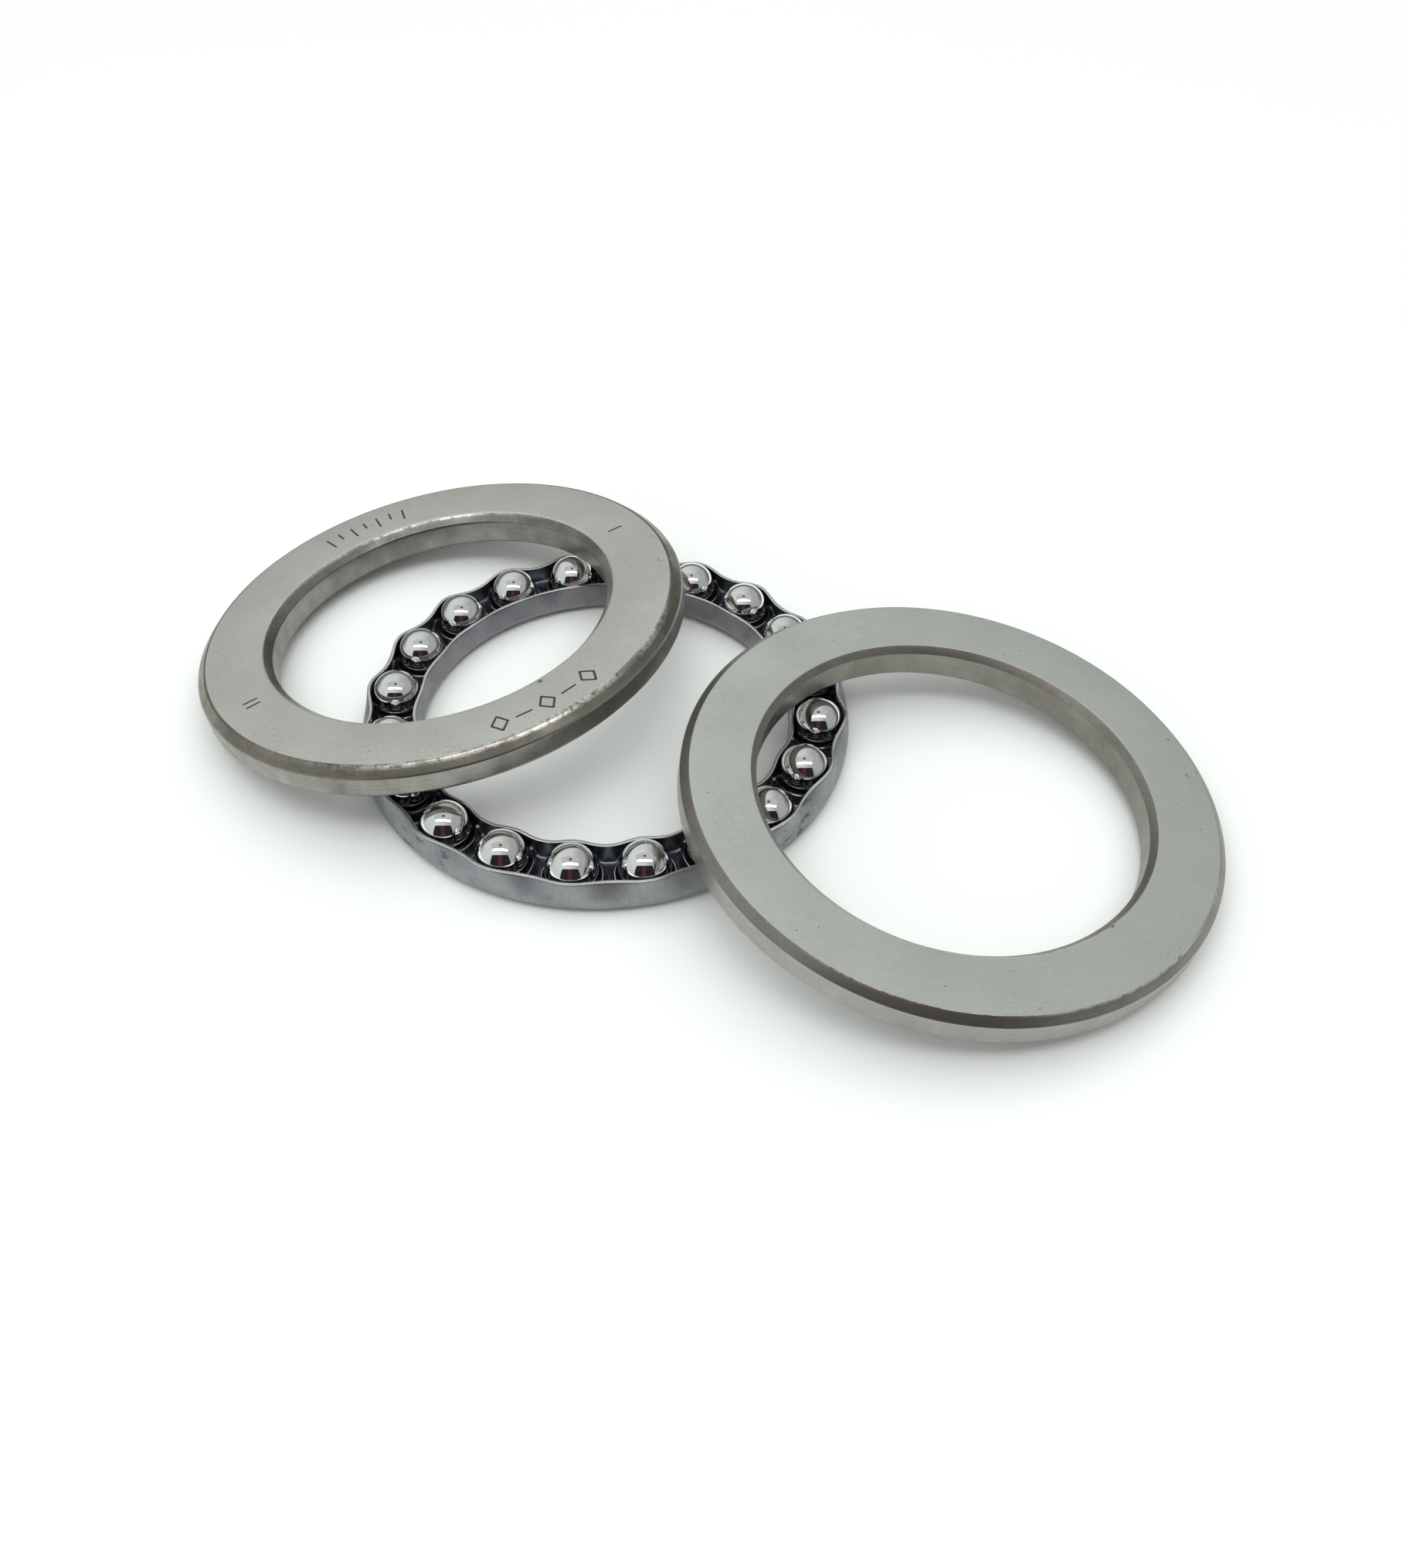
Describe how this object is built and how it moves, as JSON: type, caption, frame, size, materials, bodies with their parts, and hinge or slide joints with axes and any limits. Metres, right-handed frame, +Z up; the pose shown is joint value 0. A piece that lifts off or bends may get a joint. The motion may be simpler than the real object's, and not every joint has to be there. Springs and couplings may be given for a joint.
{
  "type": "thrust ball bearing",
  "caption": "Single-direction thrust ball bearing laid open: a pressed steel cage with a ring of balls lies flat, and the shaft and housing washers lean on it, raceways down.",
  "frame": {"origin": "centre of the footprint of the laid-open bearing, on the surface that it lies on", "axes": "+Z up, out of that surface; +X along the row of the three rings, from the shaft washer's side to the housing washer's side"},
  "size_m": [0.1288, 0.0966, 0.0149],
  "materials": {
    "washer_steel": "fine ground",
    "cage_steel": "pressed sheet, satin",
    "ball_steel": "mirror polished"
  },
  "bodies": {
    "housing_washer": {"housing_washer": "washer_steel"},
    "shaft_washer": {"shaft_washer": "washer_steel"},
    "cage": {"cage": "cage_steel"},
    "ball_01": {"ball_01": "ball_steel"},
    "ball_02": {"ball_02": "ball_steel"},
    "ball_03": {"ball_03": "ball_steel"},
    "ball_04": {"ball_04": "ball_steel"},
    "ball_05": {"ball_05": "ball_steel"},
    "ball_06": {"ball_06": "ball_steel"},
    "ball_07": {"ball_07": "ball_steel"},
    "ball_08": {"ball_08": "ball_steel"},
    "ball_09": {"ball_09": "ball_steel"},
    "ball_10": {"ball_10": "ball_steel"},
    "ball_11": {"ball_11": "ball_steel"},
    "ball_12": {"ball_12": "ball_steel"},
    "ball_13": {"ball_13": "ball_steel"},
    "ball_14": {"ball_14": "ball_steel"},
    "ball_15": {"ball_15": "ball_steel"},
    "ball_16": {"ball_16": "ball_steel"},
    "ball_17": {"ball_17": "ball_steel"},
    "ball_18": {"ball_18": "ball_steel"},
    "ball_19": {"ball_19": "ball_steel"},
    "ball_20": {"ball_20": "ball_steel"}
  },
  "joints": [
    {"name": "shaft_washer_spin", "type": "hinge", "parent": "housing_washer", "child": "shaft_washer", "pos_m": [-0.03203, 0.01584, 0.00746], "axis": [-0.1441, 0.0797, 0.9863], "continuous": true},
    {"name": "cage_orbit", "type": "hinge", "parent": "housing_washer", "child": "cage", "pos_m": [-0.01002, 0.00366, 0.00317], "axis": [0, 0, 1], "continuous": true},
    {"name": "ball_01_roll", "type": "hinge", "parent": "cage", "child": "ball_01", "pos_m": [-0.02836, -0.01683, 0.00317], "axis": [-0.667, -0.7451, 0], "continuous": true},
    {"name": "ball_02_roll", "type": "hinge", "parent": "cage", "child": "ball_02", "pos_m": [-0.02113, -0.02149, 0.00317], "axis": [-0.4041, -0.9147, 0], "continuous": true},
    {"name": "ball_03_roll", "type": "hinge", "parent": "cage", "child": "ball_03", "pos_m": [-0.01281, -0.02369, 0.00317], "axis": [-0.1016, -0.9948, 0], "continuous": true},
    {"name": "ball_04_roll", "type": "hinge", "parent": "cage", "child": "ball_04", "pos_m": [-0.00422, -0.02322, 0.00317], "axis": [0.2108, -0.9775, 0], "continuous": true},
    {"name": "ball_05_roll", "type": "hinge", "parent": "cage", "child": "ball_05", "pos_m": [0.0038, -0.02011, 0.00317], "axis": [0.5025, -0.8646, 0], "continuous": true},
    {"name": "ball_06_roll", "type": "hinge", "parent": "cage", "child": "ball_06", "pos_m": [0.01047, -0.01468, 0.00317], "axis": [0.7451, -0.667, 0], "continuous": true},
    {"name": "ball_07_roll", "type": "hinge", "parent": "cage", "child": "ball_07", "pos_m": [0.01514, -0.00745, 0.00317], "axis": [0.9147, -0.4041, 0], "continuous": true},
    {"name": "ball_08_roll", "type": "hinge", "parent": "cage", "child": "ball_08", "pos_m": [0.01734, 0.00087, 0.00317], "axis": [0.9948, -0.1016, 0], "continuous": true},
    {"name": "ball_09_roll", "type": "hinge", "parent": "cage", "child": "ball_09", "pos_m": [0.01686, 0.00946, 0.00317], "axis": [0.9775, 0.2108, 0], "continuous": true},
    {"name": "ball_10_roll", "type": "hinge", "parent": "cage", "child": "ball_10", "pos_m": [0.01376, 0.01748, 0.00317], "axis": [0.8646, 0.5025, 0], "continuous": true},
    {"name": "ball_11_roll", "type": "hinge", "parent": "cage", "child": "ball_11", "pos_m": [0.00832, 0.02415, 0.00317], "axis": [0.667, 0.7451, 0], "continuous": true},
    {"name": "ball_12_roll", "type": "hinge", "parent": "cage", "child": "ball_12", "pos_m": [0.00109, 0.02882, 0.00317], "axis": [0.4041, 0.9147, 0], "continuous": true},
    {"name": "ball_13_roll", "type": "hinge", "parent": "cage", "child": "ball_13", "pos_m": [-0.00722, 0.03102, 0.00317], "axis": [0.1016, 0.9948, 0], "continuous": true},
    {"name": "ball_14_roll", "type": "hinge", "parent": "cage", "child": "ball_14", "pos_m": [-0.01581, 0.03055, 0.00317], "axis": [-0.2108, 0.9775, 0], "continuous": true},
    {"name": "ball_15_roll", "type": "hinge", "parent": "cage", "child": "ball_15", "pos_m": [-0.02384, 0.02744, 0.00317], "axis": [-0.5025, 0.8646, 0], "continuous": true},
    {"name": "ball_16_roll", "type": "hinge", "parent": "cage", "child": "ball_16", "pos_m": [-0.03051, 0.022, 0.00317], "axis": [-0.7451, 0.667, 0], "continuous": true},
    {"name": "ball_17_roll", "type": "hinge", "parent": "cage", "child": "ball_17", "pos_m": [-0.03517, 0.01477, 0.00317], "axis": [-0.9147, 0.4041, 0], "continuous": true},
    {"name": "ball_18_roll", "type": "hinge", "parent": "cage", "child": "ball_18", "pos_m": [-0.03738, 0.00646, 0.00317], "axis": [-0.9948, 0.1016, 0], "continuous": true},
    {"name": "ball_19_roll", "type": "hinge", "parent": "cage", "child": "ball_19", "pos_m": [-0.0369, -0.00213, 0.00317], "axis": [-0.9775, -0.2108, 0], "continuous": true},
    {"name": "ball_20_roll", "type": "hinge", "parent": "cage", "child": "ball_20", "pos_m": [-0.03379, -0.01016, 0.00317], "axis": [-0.8646, -0.5025, 0], "continuous": true}
  ],
  "couplings": [
    {"joint": "cage_orbit", "follows": "shaft_washer_spin", "ratio": 0.5},
    {"joint": "ball_01_roll", "follows": "shaft_washer_spin", "ratio": -4.3307},
    {"joint": "ball_02_roll", "follows": "shaft_washer_spin", "ratio": -4.3307},
    {"joint": "ball_03_roll", "follows": "shaft_washer_spin", "ratio": -4.3307},
    {"joint": "ball_04_roll", "follows": "shaft_washer_spin", "ratio": -4.3307},
    {"joint": "ball_05_roll", "follows": "shaft_washer_spin", "ratio": -4.3307},
    {"joint": "ball_06_roll", "follows": "shaft_washer_spin", "ratio": -4.3307},
    {"joint": "ball_07_roll", "follows": "shaft_washer_spin", "ratio": -4.3307},
    {"joint": "ball_08_roll", "follows": "shaft_washer_spin", "ratio": -4.3307},
    {"joint": "ball_09_roll", "follows": "shaft_washer_spin", "ratio": -4.3307},
    {"joint": "ball_10_roll", "follows": "shaft_washer_spin", "ratio": -4.3307},
    {"joint": "ball_11_roll", "follows": "shaft_washer_spin", "ratio": -4.3307},
    {"joint": "ball_12_roll", "follows": "shaft_washer_spin", "ratio": -4.3307},
    {"joint": "ball_13_roll", "follows": "shaft_washer_spin", "ratio": -4.3307},
    {"joint": "ball_14_roll", "follows": "shaft_washer_spin", "ratio": -4.3307},
    {"joint": "ball_15_roll", "follows": "shaft_washer_spin", "ratio": -4.3307},
    {"joint": "ball_16_roll", "follows": "shaft_washer_spin", "ratio": -4.3307},
    {"joint": "ball_17_roll", "follows": "shaft_washer_spin", "ratio": -4.3307},
    {"joint": "ball_18_roll", "follows": "shaft_washer_spin", "ratio": -4.3307},
    {"joint": "ball_19_roll", "follows": "shaft_washer_spin", "ratio": -4.3307},
    {"joint": "ball_20_roll", "follows": "shaft_washer_spin", "ratio": -4.3307}
  ]
}
